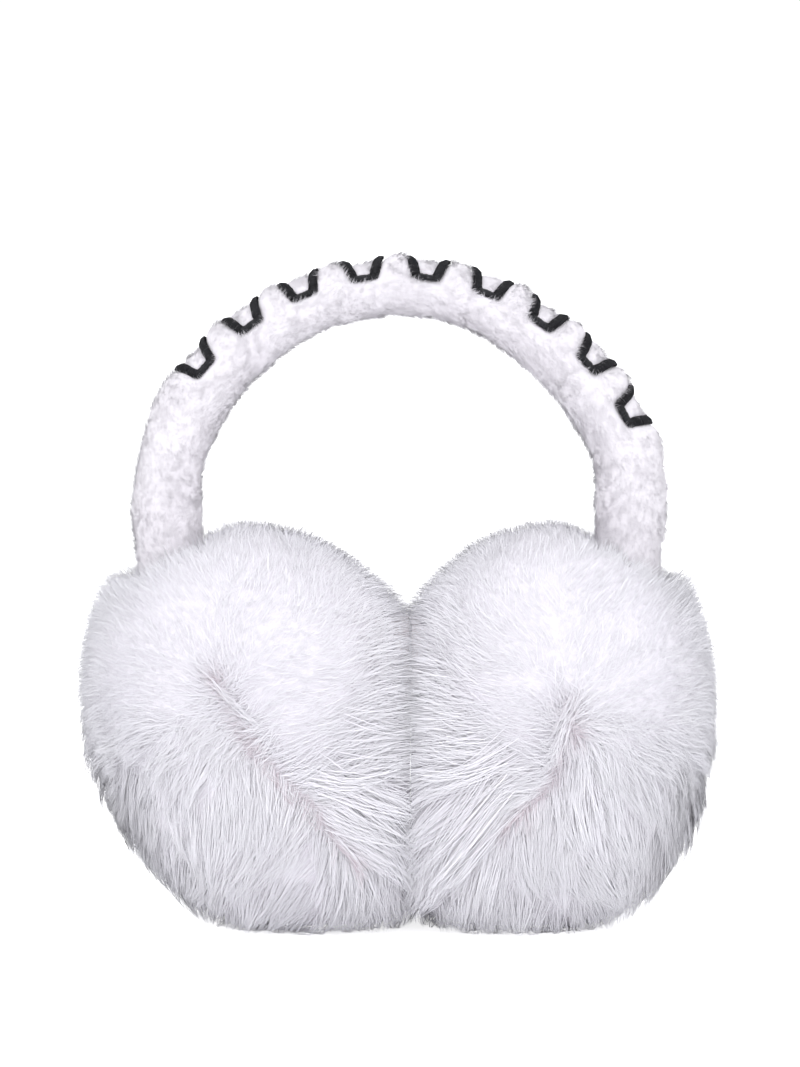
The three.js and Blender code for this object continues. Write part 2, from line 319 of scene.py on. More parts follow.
@dataclass(frozen=True)
class PadShape:
    """The outer form of one pad's fur, as in the part's source, with the lines where its hair parts."""

    side: Side
    anchor: Anchor
    middle: float
    reach_out: float
    reach_in: float
    lean: float
    fullness_above: float
    fullness_below: float
    partings: tuple[tuple[tuple[float, float], ...], ...]
    tongue: tuple[tuple[float, float], tuple[float, float]]
    tongue_width: float
    tufts: tuple[tuple[float, float, float, float], ...]
    level: float = 69.0
    reach_up: float = 71.0
    reach_down: float = 74.0
    reach_down_in: float = 84.0
    reach_side: float = 69.0
    reach_in_low: float = 76.0
    fullness_in: float = 2.4
    clearance: float = 0.25
    pressed_past: float = 5.0
    pressed_under: float = 8.0

    def reach(self, directions: Array, inset: Array, pressed: Array) -> Array:
        """The three half-sizes of the pad that hold in each direction.

        Args:
            directions: Rows of outwards, back and up.
            inset: How far inside the fur's tips.
            pressed: The same, under the pad and towards the other pad.

        Returns:
            A row of three half-sizes for each direction.
        """
        inward = mix(self.reach_in_low, self.reach_in, smoothstep(directions[:, 2], -0.7, 0.5))
        down = mix(self.reach_down_in, self.reach_down, smoothstep(directions[:, 0], -0.7, 0.3))
        across = np.where(directions[:, 0] > 0, self.reach_out - inset, inward - pressed)
        upright = np.where(directions[:, 2] > 0, self.reach_up - inset, down - pressed)
        return np.stack([across, self.reach_side - inset, upright], axis=1)

    def local(self, directions: Array, inset: float | Array, pressed: float | Array) -> Array:
        """Points of the pad from its middle, before it leans.

        Args:
            directions: Rows of outwards, back and up.
            inset: How far inside the fur's tips.
            pressed: The same, under the pad and towards the other pad.

        Returns:
            A row of outwards, back and up for each direction.
        """
        ones = np.ones(len(directions))
        reach = self.reach(directions, inset * ones, pressed * ones)
        out = mix(self.fullness_below, self.fullness_above, smoothstep(directions[:, 2], -0.3, 0.3))
        fullness = mix(self.fullness_in, out, smoothstep(directions[:, 0], -0.5, 0.3))
        shares = np.abs(directions / reach) ** fullness[:, None]
        return directions * (np.sum(shares, axis=1) ** (-1 / fullness))[:, None]

    def normals(self, directions: Array, points: Array) -> Array:
        """Directions straight out of the pad at its own points, which are in the given directions."""
        reach = self.reach(directions, np.zeros(len(directions)), np.zeros(len(directions)))
        return unit(np.sign(points) * np.abs(points / reach) ** 1.2 / reach)

    def from_plane(self, points: Array) -> Array:
        """How far the pad's own points are from the plane between the pads, on this pad's side of it."""
        return self.middle + points[:, 0] + self.lean * points[:, 2]

    def shows(self, points: Array) -> Array:
        """Which of the pad's own points aren't pressed far past the other pad or the floor."""
        inside = self.from_plane(points) > -self.pressed_past
        return inside & (self.level + points[:, 2] > -self.pressed_under)

    def place(self, local: Array, overlap: float | Array = 0.0) -> Array:
        """Puts the pad's own points in the row's frame, on its side of the other pad and above the floor.

        Args:
            local: Rows of outwards, back and up from the pad's middle.
            overlap: How far they may reach over to the other pad's side.

        Returns:
            Rows of x, y and z.
        """
        side = self.side.value
        leaning = local[..., 0] + self.lean * local[..., 2]
        outwards = np.maximum(leaning, self.clearance - self.middle - overlap)
        up = np.maximum(self.level + local[..., 2], self.clearance)
        x = self.anchor.meeting_x + side * (self.middle + outwards)
        return np.stack([x, local[..., 1] + self.anchor.band_y, up], axis=-1)

    def on_front(self, x: Array, height: Array) -> Array:
        """Finds the points of the fur's front that are seen at given places.

        Args:
            x: Places across the row's frame.
            height: Heights above the floor.

        Returns:
            Rows of outwards, back and up.
        """
        up = height - self.level
        outwards = (x - self.anchor.meeting_x) * self.side.value - self.middle - self.lean * up
        near, far = np.zeros_like(up), np.full_like(up, -2 * self.reach_side)
        for _ in range(24):
            back = (near + far) / 2
            points = np.stack([outwards, back, up], axis=1)
            skin = self.local(unit(points), 0.0, 0.0)
            inside = np.linalg.norm(points, axis=1) < np.linalg.norm(skin, axis=1)
            near, far = np.where(inside, back, near), np.where(inside, far, back)
        return points

    def parting_points(self) -> Array:
        """The partings on the front, as points of the pad's own.

        Returns:
            Rows of outwards, back and up, along one parting after another.
        """
        lines = []
        for parting in self.partings:
            rows = np.array(parting)
            steps = np.linspace(0, len(rows) - 1, 40)
            x, height = (np.interp(steps, np.arange(len(rows)), rows[:, axis]) for axis in range(2))
            lines.append(self.on_front(x, height))
        return np.concatenate(lines)


@dataclass(frozen=True)
class Coat:
    """One layer of hair: how much there is, how long and thick, and how it lies."""

    name: str
    count: int
    width: float
    root_inset: float
    tip_inset: float
    sweep: float
    ragged: float
    knots: tuple[float, ...]
    clump_share: float
    unruly: float
    above_share: float
    seed: int


@dataclass(frozen=True)
class Lock:
    """One size of lock: how many there are, how firmly and how far they move their hairs, and their tint."""

    count: int
    pull: float
    spread: float
    depth: float
    tint: float


def strands_mesh(name: str, spines: Array, side: Array, widths: Array, flatness: float) -> Mesh:
    """A mesh of many closed three-sided hairs that end in points.

    Args:
        name: The mesh's name.
        spines: For each hair, its knots from root to tip, in millimetres.
        side: For each hair, the direction of its broad side.
        widths: For each hair, its width at each knot but the last.
        flatness: Thickness as a share of the width.

    Returns:
        The mesh, in metres.
    """
    count, knots = spines.shape[:2]
    rings = knots - 1
    tangent = unit(np.gradient(spines, axis=1))[:, :rings]
    across = unit(side[:, None, :] - tangent * row_dot(side[:, None, :], tangent))
    over = np.cross(tangent, across)
    corners = []
    for turn in (270, 30, 150):
        angle = math.radians(turn)
        width = widths[:, :, None] / 2
        offset = across * math.cos(angle) + over * flatness * math.sin(angle)
        corners.append(spines[:, :rings] + offset * width)
    ring_points = np.stack(corners, axis=2).reshape(count, rings * 3, 3)
    points = np.concatenate([ring_points, spines[:, -1:, :]], axis=1)
    faces = [(0, 2, 1)]
    for ring in range(rings - 1):
        for corner in range(3):
            a, b = ring * 3 + corner, ring * 3 + (corner + 1) % 3
            faces += [(a, b, a + 3), (b, b + 3, a + 3)]
    for corner in range(3):
        faces.append(((rings - 1) * 3 + corner, (rings - 1) * 3 + (corner + 1) % 3, rings * 3))
    per_hair = rings * 3 + 1
    offsets = (np.arange(count) * per_hair)[:, None, None]
    all_faces = (np.array(faces)[None] + offsets).reshape(-1, 3)
    mesh = bpy.data.meshes.new(name)
    mesh.from_pydata((points.reshape(-1, 3) * MM).tolist(), [], all_faces.tolist())
    return mesh


def add_attribute(mesh: Mesh, name: str, values: Array) -> None:
    """Stores one number for each of the mesh's vertices under the name."""
    attribute = mesh.attributes.new(name, "FLOAT", "POINT")
    attribute.data.foreach_set("value", np.ascontiguousarray(values, dtype=np.float32).ravel())


def add_object(
    name: str, mesh: Mesh, material: Material, normals: Array | None = None
) -> Object:
    """Makes an object of a mesh, gives it its finish, and lets it ride on the body.

    Args:
        name: The piece's name.
        mesh: Its mesh, in metres.
        material: Its finish.
        normals: The directions that its vertices are shaded in, where they aren't the mesh's own.

    Returns:
        The object.
    """
    mesh.name = name
    mesh.materials.append(material)
    mesh.polygons.foreach_set("use_smooth", np.full(len(mesh.polygons), True))
    if normals is not None:
        own = np.empty(len(mesh.vertices) * 3, dtype=np.float32)
        mesh.vertices.foreach_get("normal", own)
        shaded = unit(normals + OWN_NORMAL_SHARE * own.reshape(-1, 3))
        mesh.normals_split_custom_set_from_vertices(shaded.tolist())
    piece = bpy.data.objects.new(name, mesh)
    bpy.context.scene.collection.objects.link(piece)
    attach(piece, "root")
    log.info("%s: %d faces", name, len(mesh.polygons))
    return piece


@dataclass(frozen=True)
class FurPad:
    """One long-haired pad: a padded core and its coats of hair, which part, crease and lock together."""

    shape: PadShape
    band: BandShape
    coats: tuple[Coat, ...]
    locks: tuple[Lock, ...]
    core_inset: float = 4.8
    core_pressed: float = 6.0
    core_rise: float = 3.0
    core_swell: float = 6.5
    core_groove: float = 3.5
    core_groove_width: float = 6.0
    core_low_inset: float = 2.6
    core_leg_gap: float = 0.6
    core_leg_slope: float = 1.2
    low_heights: tuple[float, float] = (-18.0, 30.0)
    hang_below: float = 0.75
    hang_heights: tuple[float, float] = (-12.0, 40.0)
    hang_beside: float = 0.9
    beside_width: float = 26.0
    comb_reach: float = 9.0
    wander: float = 0.45
    wander_size: float = 26.0
    ruffle: float = 0.3
    ruffle_size: float = 9.0
    unevenness: float = 2.2
    crossing: tuple[float, float] = (3.0, 9.0)
    loose_share: float = 0.06
    loose: float = 1.1
    groove_depth: float = 3.6
    groove_width: float = 2.8
    shadow_width: float = 4.2
    tongue_rise: float = 2.6
    tongue_crossing: float = 8.0
    rim_reach: float = 7.0
    rim_width: float = 9.0
    crease_width: float = 13.0
    crease_reach: tuple[float, float] = (7.0, 11.0)
    overlap: float = 5.5
    kink: float = 0.18
    own_tint: float = 0.35
    leg_place: float = 44.0
    leg_hair_gap: float = 1.2
    leg_hair_depth: float = 5.0
    hollow_half: tuple[float, float] = (9.0, 16.0)
    hollow_edge: float = 9.0
    hollow_drop: tuple[float, float] = (7.0, 13.0)
    hollow_tilt: float = 12.0
    hollow_heights: tuple[float, float] = (96.0, 130.0)
    hollow_shares: tuple[float, float] = (0.45, 1.15)

    def make_core(self, material: Material) -> None:
        """Makes the padded body that the hair grows from, which stands for the pad's CAD node.

        Args:
            material: The finish of the short under-fur on it, a little darker than the hairs as painted shade
                where the core shows between them.
        """
        work = bmesh.new()
        bmesh.ops.create_icosphere(work, subdivisions=5, radius=1.0)
        directions = unit(np.array([vertex.co[:] for vertex in work.verts]))
        surface = self.shape.local(directions, 0.0, 0.0)
        normals = self.shape.normals(directions, surface)
        groove = bell(self.comb(surface, normals)[1], self.core_groove_width)
        inset = self.core_inset + self.core_groove * groove + self.core_low_inset * self.low(surface)
        local = self.shape.local(directions, inset, self.core_pressed)
        local[:, 1] += self.core_swell * self.crease(local, normals)
        parted = self.part_at_leg(self.shape.place(local), np.ones(len(local)))
        points = self.band.push_out(parted, self.core_leg_gap)
        points[:, 2] -= self.core_leg_slope * np.linalg.norm(points - parted, axis=1)
        points[:, 2] = np.maximum(points[:, 2], self.core_rise)
        for vertex, point in zip(work.verts, points):
            vertex.co = Vector(point) * MM
        axes = {f"use_axis_{axis}": True for axis in "xyz"}
        bmesh.ops.smooth_vert(work, verts=work.verts, factor=0.3, **axes)
        word = self.shape.side.word
        core = add_object(f"{word}_pad_core", mesh_of(work, "core"), material)
        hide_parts(f"{word}_fur_pad")

    def make_coats(self, material: Material) -> None:
        """Grows the layers of hair, one after another.

        Args:
            material: The hair's finish.
        """
        for coat in self.coats:
            growing = GrowingCoat(self, coat)
            growing.comb()
            growing.lay()
            growing.lock()
            growing.make(material)

    def low(self, surface: Array) -> Array:
        """How far down the pad its own points are, from 0 to 1."""
        return smoothstep(-surface[:, 2], *self.low_heights)

    def comb(self, points: Array, normals: Array) -> tuple[Array, Array]:
        """The way that the hair is combed: away from the nearest parting, on the front and on the back.

        Args:
            points: The pad's own points on its outer form.
            normals: The directions out of the pad there.

        Returns:
            The directions along the pad, and the distance of each point from its parting.
        """
        seen = points.copy()
        seen[:, 1] = -np.abs(points[:, 1])
        places = self.shape.parting_points()
        best = np.full(len(points), np.inf)
        for place in places:
            best = np.minimum(best, np.linalg.norm(seen - place, axis=1))
        pull = np.zeros_like(points)
        for place in places:
            gap = seen - place
            distance = np.linalg.norm(gap, axis=1)
            share = np.exp(-((distance - best) / self.comb_reach))
            pull += gap / np.maximum(distance, TINY)[:, None] * share[:, None]
        pull = unit(pull) * np.where(points[:, 1:2] > 0, (1.0, -1.0, 1.0), 1.0)
        below = self.hang_below * smoothstep(-points[:, 2], *self.hang_heights)
        pull[:, 2] -= below + self.hang_beside * bell(points[:, 1], self.beside_width)
        wander = self.wander * drift(points, self.wander_size)
        pull += wander + self.ruffle * drift(points, self.ruffle_size)
        return unit(flattened(pull, normals)), best

    def crease(self, points: Array, normals: Array) -> Array:
        """How much the fur swells where the pads meet, from -1 at the front to 1 at the back."""
        near = bell(self.shape.from_plane(points), self.crease_width)
        return near * smoothstep(np.abs(normals[:, 1]), 0.1, 0.45) * np.sign(points[:, 1])

    def tongue(self, surface: Array) -> tuple[Array, Array, Array]:
        """Finds the hairs of the one thick lock that lies over the whorl on the front.

        Args:
            surface: The hairs' places on the pad's form.

        Returns:
            How much each hair belongs to the lock, the lock's direction, and each hair's place off its line.
        """
        ends = np.array(self.shape.tongue)
        start, end = self.shape.on_front(ends[:, 0], ends[:, 1])
        way = end - start
        share = np.clip((surface - start) @ way / (way @ way), 0, 1)
        off = surface - start - share[:, None] * way
        belongs = bell(np.linalg.norm(off, axis=1), self.shape.tongue_width)
        return belongs * (1 - smoothstep(share, 0.7, 1.0)), way / np.linalg.norm(way), off

    def tufts(self, surface: Array) -> Array:
        """How far the hair stands out in the tufts on the pad's outline.

        Args:
            surface: The hairs' places on the pad's form.

        Returns:
            A length for each hair.
        """
        placed = self.shape.place(surface)
        length = np.zeros(len(surface))
        for x, height, size, reach in self.shape.tufts:
            length += reach * bell(np.hypot(placed[:, 0] - x, placed[:, 2] - height), size)
        return length

    def part_at_leg(self, placed: Array, share: Array) -> Array:
        """Lays the fur lower where the headband's leg goes in.

        Args:
            placed: Points in the row's frame.
            share: How much of the way each of them goes down.

        Returns:
            The moved points.
        """
        along = self.leg_place if self.shape.side is Side.LEFT else self.band.length - self.leg_place
        leg = self.band.line(np.array([along]))[0]
        across, deep = self.hollow_half
        outwards = (placed[..., 0] - leg[0]) * self.shape.side.value
        beside = np.maximum(np.abs(outwards) - across, 0)
        behind = np.maximum(np.abs(placed[..., 1] - leg[1]) - deep, 0) * 0.7
        tilt = smoothstep(outwards, -self.hollow_tilt, self.hollow_tilt)
        drop = bell(np.hypot(beside, behind), self.hollow_edge) * mix(*self.hollow_drop, tilt)
        moved = placed.copy()
        moved[..., 2] -= drop * smoothstep(placed[..., 2], *self.hollow_heights) * share
        return moved

    def clears_leg(self, placed: Array) -> Array:
        """Which hairs, given as knots in the row's frame, don't run deep into the headband's leg."""
        away = self.band.from_legs(placed[:, 1:])[2]
        return np.all(away > self.band.leg_half - self.leg_hair_depth, axis=1)


class GrowingCoat:
    """One coat of hair while it grows on a pad, with a row for each hair in the pad's own points."""

    def __init__(self, pad: FurPad, coat: Coat) -> None:
        """Spreads the hairs over the pad, a little unevenly.

        Args:
            pad: The pad.
            coat: The layer of hair.
        """
        self.pad, self.coat = pad, coat
        self.random = np.random.default_rng((coat.seed, pad.shape.side.value + 1))
        number = np.arange(coat.count) + 0.5
        back = 1 - 2 * number / coat.count
        radius = np.sqrt(1 - back**2)
        turn = math.pi * (3 - math.sqrt(5)) * number
        even = np.stack([radius * np.cos(turn), back, radius * np.sin(turn)], axis=1)
        spacing = 0.5 / math.sqrt(coat.count)
        directions = unit(even + self.random.normal(0, spacing * pad.unevenness, even.shape))
        above = smoothstep(directions[:, 2], -0.1, 0.5)
        kept = self.random.uniform(0, 1, coat.count) < mix(1.0, coat.above_share, above)
        self.directions = directions[kept]
        self.count = len(self.directions)
        self.surface = pad.shape.local(self.directions, 0.0, 0.0)
        self.normals = pad.shape.normals(self.directions, self.surface)
        self.low = pad.low(self.surface)

    def comb(self) -> None:
        """Combs the hairs away from the parting and along the tongue, some of them astray."""
        combed, self.from_parting = self.pad.comb(self.surface, self.normals)
        stray = self.random.normal(0, self.coat.unruly, self.surface.shape)
        stray *= mix(1.0, 0.35, self.low)[:, None]
        combed = unit(combed + flattened(stray, self.normals))
        self.in_tongue, way, self.off_tongue = self.pad.tongue(self.surface)
        self.combed = unit(mix(combed, way, self.in_tongue[:, None]))

    def lay(self) -> None:
        """Lays the hairs down along the pad and finds their tips, roots and bends."""
        pad, coat, random, count = self.pad, self.coat, self.random, self.count
        facing = np.abs(self.normals[:, 1])
        sweep = coat.sweep * (0.55 + 0.45 * facing) * mix(0.55, 1.3, self.low) * random.normal(1, 0.16, count)
        crossing = random.uniform(*pad.crossing, count)
        sweep = np.minimum(sweep, self.from_parting + crossing + pad.tongue_crossing * self.in_tongue)
        groove = bell(self.from_parting, pad.groove_width) * (1 - self.in_tongue)
        inset = coat.tip_inset + np.abs(random.normal(0, coat.ragged, count))
        loose = random.uniform(0, 1, count) < pad.loose_share
        inset -= np.where(loose, random.exponential(pad.loose, count), 0.0)
        tufts = pad.tufts(self.surface) * random.uniform(0, 1, count)
        inset += pad.groove_depth * groove - pad.tongue_rise * self.in_tongue - tufts
        self.tips = pad.shape.local(self.directions, inset, 0.4)
        rim = bell(pad.shape.from_plane(self.tips), pad.rim_width)
        self.tips[:, 0] -= pad.rim_reach * rim * random.uniform(0, 1, count)
        self.swell = pad.crease(self.tips, self.normals)
        push = self.swell * random.uniform(*pad.crease_reach, count)
        self.tips[:, 1] += push
        self.tips -= 0.5 * self.in_tongue[:, None] * self.off_tongue
        start = self.surface - self.combed * sweep[:, None]
        start[:, 2] += 0.22 * sweep * mix(0.3, 1.0, self.low) + 1.0
        root_inset = coat.root_inset + 2.0 * groove + 2.4 * self.low
        self.roots = pad.shape.local(unit(start), root_inset, coat.root_inset)
        self.roots[:, 1] += 0.75 * push
        halfway = self.surface - self.combed * (0.45 * sweep)[:, None]
        self.bends = pad.shape.local(unit(halfway), inset + 1.8, 0.9)
        self.bends[:, 1] += 0.95 * push

    def lock(self) -> None:
        """Draws the hairs together in locks, each kind in turn, and tints them."""
        random = self.random
        self.tints = np.zeros(self.count)
        for kind in self.pad.locks:
            centres = random.choice(self.count, kind.count, replace=False)
            own = nearest(self.tips, self.tips[centres])
            shift = random.normal(0, kind.spread, (kind.count, 3))
            sunk = np.abs(random.normal(0, kind.depth, kind.count)) * mix(0.7, 1.6, self.low[centres])
            goal = self.tips[centres] + shift - sunk[:, None] * self.normals[centres]
            strength = kind.pull * self.coat.clump_share * mix(0.3, 1.15, self.low)
            strength = (strength * random.uniform(0.5, 1.2, kind.count)[own])[:, None]
            self.tips = mix(self.tips, goal[own], strength)
            self.bends = mix(self.bends, self.bends[centres][own] + 0.4 * shift[own], 0.45 * strength)
            self.tints += random.uniform(0, 1, kind.count)[own] * kind.tint
        self.tints += random.uniform(0, 1, self.count) * self.pad.own_tint

    def curve(self) -> Array:
        """Curves each hair from its root past its bend to its tip.

        Returns:
            For each hair, its knots in the row's frame.
        """
        pad, knots = self.pad, np.array(self.coat.knots)
        times = knots[None, :, None]
        spines = (1 - times) ** 2 * self.roots[:, None] + 2 * times * (1 - times) * self.bends[:, None]
        spines += times**2 * self.tips[:, None]
        spines[:, 1:] += self.random.normal(0, pad.kink, spines[:, 1:].shape)
        overlap = np.abs(self.random.normal(0, pad.overlap, (self.count, 1)))
        lowered = self.random.uniform(*pad.hollow_shares, (self.count, 1))
        lowered = mix(pad.hollow_shares[1], lowered, knots[None])
        return pad.part_at_leg(pad.shape.place(spines, overlap), lowered)

    def make(self, material: Material) -> None:
        """Makes the piece of the hairs that show.

        Args:
            material: The hair's finish.
        """
        pad, coat = self.pad, self.coat
        placed = self.curve()
        keep = pad.shape.shows(self.surface) & pad.clears_leg(placed)
        placed = placed[keep]
        placed[:, 1:] = pad.band.push_out(placed[:, 1:], pad.leg_hair_gap)
        flip = np.array([pad.shape.side.value, 1, 1])
        broad = np.cross(self.normals[keep] * flip, placed[:, -1] - placed[:, 0])
        taper = 1 - 0.75 * np.array(coat.knots[:-1]) ** 2
        widths = coat.width * taper[None] * self.random.uniform(0.75, 1.25, (len(placed), 1))
        mesh = strands_mesh(coat.name, placed, unit(broad), widths, HAIR_FLATNESS)
        along = np.concatenate([np.repeat(coat.knots[:-1], 3), [1.0]])
        shadow = bell(self.from_parting, pad.shadow_width) * (1 - self.in_tongue)
        add_attribute(mesh, "along", np.tile(along, len(placed)))
        # The attribute groove carries painted shade: the hairs are darkened along the partings, except on the
        # tongue.
        add_attribute(mesh, "groove", np.repeat(shadow[keep], len(along)))
        add_attribute(mesh, "tint", np.repeat(self.tints[keep], len(along)))
        lit = unit(self.normals * np.where(self.normals > 0, LIT_OUTWARDS, LIT_INWARDS))
        lit += np.stack([0.4 * np.abs(self.swell), self.swell, 0 * self.swell], axis=1)
        shaded = np.repeat(unit(lit[keep]) * flip, len(along), axis=0)
        add_object(f"{pad.shape.side.word}_{coat.name}", mesh, material, shaded)


def mesh_of(work: bmesh.types.BMesh, name: str) -> Mesh:
    """Turns a finished bmesh into a mesh.

    Args:
        work: The bmesh, which is freed.
        name: The mesh's name.

    Returns:
        The mesh.
    """
    bmesh.ops.recalc_face_normals(work, faces=work.faces)
    mesh = bpy.data.meshes.new(name)
    work.to_mesh(mesh)
    work.free()
    return mesh


@dataclass(frozen=True)
class Motif:
    """A stitched hexagon outline, pressed into the plush across the top of the band."""

    band: BandShape
    length: float = 14.0
    flat: float = 9.5
    wrap: float = 30.0
    stroke: float = 3.2
    sink: float = 0.9
    thread: float = 0.46
    spacing: float = 0.4
    corner_ease: float = 1.2
    slant: float = 0.22
    square: float = 0.97
    unevenness: float = 0.12
    shares: tuple[float, ...] = (-1.0, -0.8, 0.0, 0.8, 1.0)
    heights: tuple[float, ...] = (-1.5, -0.35, 0.1, -0.35, -1.5)
    first_seed: int = 70

    @property
    def radius(self) -> float:
        """Mean radius of the tube at the crown, which turns distances round it into angles."""
        return (self.band.crown_thickness + self.band.depth) / 4

    def corners(self) -> Array:
        """The corners of the stroke's middle line.

        Returns:
            Rows of distance along the band and round it.
        """
        inset = self.stroke / 2
        point, flat, wrap = self.length / 2, self.flat / 2, self.wrap / 2
        tip = point - inset * math.hypot(point - flat, wrap) / wrap
        edge = wrap - inset
        corner = tip - (point - flat) * edge / wrap
        ahead = [[tip, 0], [corner, edge], [-corner, edge]]
        return np.array(ahead + [[-along, -around] for along, around in ahead])

    def distance(self, along: Array, angle: Array) -> Array:
        """Distance from the stroke's middle line of the nearest motif.

        Args:
            along: Distances along the band.
            angle: Angles round it from its outer side.

        Returns:
            The distances.
        """
        number = np.round((along - self.band.first_motif) / self.band.motif_pitch)
        number = np.clip(number, 0, self.band.motif_count - 1)
        from_middle = along - self.band.first_motif - number * self.band.motif_pitch
        place = np.stack([from_middle, wrapped(angle) * self.radius], axis=-1)
        best = np.full(along.shape, np.inf)
        corners = self.corners()
        for start, end in zip(corners, np.roll(corners, -1, axis=0)):
            side = end - start
            share = np.clip(np.sum((place - start) * side, axis=-1) / np.sum(side**2), 0, 1)
            gap = place - (start + share[..., None] * side)
            best = np.minimum(best, np.linalg.norm(gap, axis=-1))
        return best

    def make(self, number: int, material: Material) -> None:
        """Sews one hexagon in satin stitch, slanting a little, which stands for the motif's CAD node.

        Args:
            number: The motif's place in the row, from 0.
            material: The thread's finish.
        """
        random = np.random.default_rng(self.first_seed + number)
        middle = self.band.first_motif + number * self.band.motif_pitch
        corners = self.corners()
        loop = np.concatenate([corners, corners[:1]])
        sides = np.linalg.norm(np.diff(loop, axis=0), axis=1)
        ends = np.concatenate([[0], np.cumsum(sides)])
        count = int(ends[-1] / self.spacing)
        walked = (np.arange(count) + random.uniform(-0.2, 0.2, count)) * ends[-1] / count
        spot = table_at(walked, ends, loop)
        ahead = table_at((walked + self.corner_ease) % ends[-1], ends, loop)
        behind = table_at((walked - self.corner_ease) % ends[-1], ends, loop)
        way = unit(ahead - behind)
        over = np.stack([way[:, 1], -way[:, 0]], axis=1) * self.square + way * self.slant
        half = (self.stroke / 2 + random.normal(0, self.unevenness, count))[:, None]
        places = spot[:, None] + over[:, None] * (half * np.array(self.shares)[None])[..., None]
        heights = np.array(self.heights) - self.sink - self.thread / 2
        proud = heights[None] + random.normal(0, 0.05, (count, 1))
        spines = self.band.point(middle + places[..., 0], places[..., 1] / self.radius, proud)
        broad = self.band.tangent(middle + spot[:, 0]) * way[:, :1] + BACKWARDS * way[:, 1:]
        widths = np.full((count, len(self.shares) - 1), self.thread * 1.25)
        mesh = strands_mesh("stitches", spines, unit(broad), widths, 0.8)
        add_attribute(mesh, "tint", np.repeat(random.uniform(0, 1, count), (len(self.shares) - 1) * 3 + 1))
        piece = add_object(f"stitched_hexagon_{number + 1}", mesh, material)
        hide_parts(f"motif_{number + 1}")


@dataclass(frozen=True)
class Headband:
    """The plush-covered tube: a padded skin and its short pile."""

    band: BandShape
    motif: Motif
    rings: int = 300
    sides: int = 56
    dent: float = 1.9
    dent_width: float = 1.8
    pucker: float = 0.5
    pucker_width: float = 4.0
    lump: float = 1.1
    lump_size: float = 17.0
    ripple: float = 0.75
    ripple_size: float = 7.0
    ripple_place: tuple[float, float, float] = (9.0, 3.0, 5.0)
    pile_count: int = 46000
    pile_length: float = 3.4
    pile_width: float = 0.26
    pile_height: float = 1.1
    pile_root: float = 0.6
    stitch_gap: float = 0.15
    seed: int = 11

    def skin_points(self, along: Array, angle: Array, proud: float) -> Array:
        """Points of the padded skin, with its lumps and the dents that the stitches pull in it.

        Args:
            along: Distances along the band.
            angle: Angles round it from its outer side.
            proud: How far outside the skin.

        Returns:
            Rows of x, y and z.
        """
        plain = self.band.point(along, angle, np.zeros_like(along))
        coarse = np.array([noise.noise(Vector(point) / self.lump_size) for point in plain])
        place = Vector(self.ripple_place)
        fine = np.array([noise.noise(Vector(point) / self.ripple_size + place) for point in plain])
        away = self.motif.distance(along, angle)
        dents = self.dent * bell(away, self.dent_width) + self.pucker * bell(away, self.pucker_width)
        height = self.lump * coarse + self.ripple * fine - dents - self.pile_height + proud
        return self.band.point(along, angle, height)

    def make_skin(self, material: Material) -> None:
        """Bends a straight tube over the arch as the padded skin, which stands for the headband's CAD node.

        Args:
            material: The plush's finish.
        """
        work = bmesh.new()
        bmesh.ops.create_cone(work, cap_ends=True, segments=self.sides, radius1=1, radius2=1, depth=1)
        risers = [edge for edge in work.edges if abs(edge.verts[0].co.z - edge.verts[1].co.z) > 0.5]
        bmesh.ops.subdivide_edges(work, edges=risers, cuts=self.rings, use_grid_fill=False)
        straight = np.array([vertex.co[:] for vertex in work.verts])
        along = (straight[:, 2] + 0.5) * self.band.length
        angle = np.arctan2(straight[:, 1], straight[:, 0])
        for vertex, point in zip(work.verts, self.skin_points(along, angle, 0.0)):
            vertex.co = Vector(point) * MM
        skin = add_object("headband_plush", mesh_of(work, "plush"), material)
        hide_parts("headband")

    def make_pile(self, material: Material) -> None:
        """Grows the short pile, which lies along the band and whirls a little.

        Args:
            material: The pile's finish.
        """
        random = np.random.default_rng(self.seed)
        along = random.uniform(0.5, self.band.length - 0.5, self.pile_count)
        angle = random.uniform(-math.pi, math.pi, self.pile_count)
        away = self.motif.distance(along, angle)
        keep = away > self.motif.stroke / 2 + self.stitch_gap
        along, angle, away = along[keep], angle[keep], away[keep]
        root = self.skin_points(along, angle, -self.pile_root)
        normal = self.band.normal(along, angle)
        wander = drift(root, 11.0)
        whirl = drift(root, 3.2)
        stray = random.normal(0, 0.16, root.shape)
        lie = unit(self.band.tangent(along) + 1.5 * wander + 0.9 * whirl + stray)
        lie = unit(flattened(lie, normal))
        length = self.pile_length * random.uniform(0.55, 1.15, len(along)) * smoothstep(away, -1.0, 4.5)
        stand = self.pile_height * random.uniform(0.75, 1.35, len(along)) + self.pile_root
        tip = root + lie * length[:, None] + normal * stand[:, None]
        widths = self.pile_width * random.uniform(0.7, 1.3, (len(along), 1))
        broad = unit(np.cross(normal, tip - root))
        mesh = strands_mesh("pile", np.stack([root, tip], axis=1), broad, widths, HAIR_FLATNESS)
        add_attribute(mesh, "along", np.tile([0, 0, 0, 1.0], len(along)))
        add_attribute(mesh, "tint", np.repeat(random.uniform(0, 1, len(along)), 4))
        shaded = np.repeat(normal + 0.15 * wander + 0.08 * whirl, 4, axis=0)
        add_object("headband_pile", mesh, material, shaded)


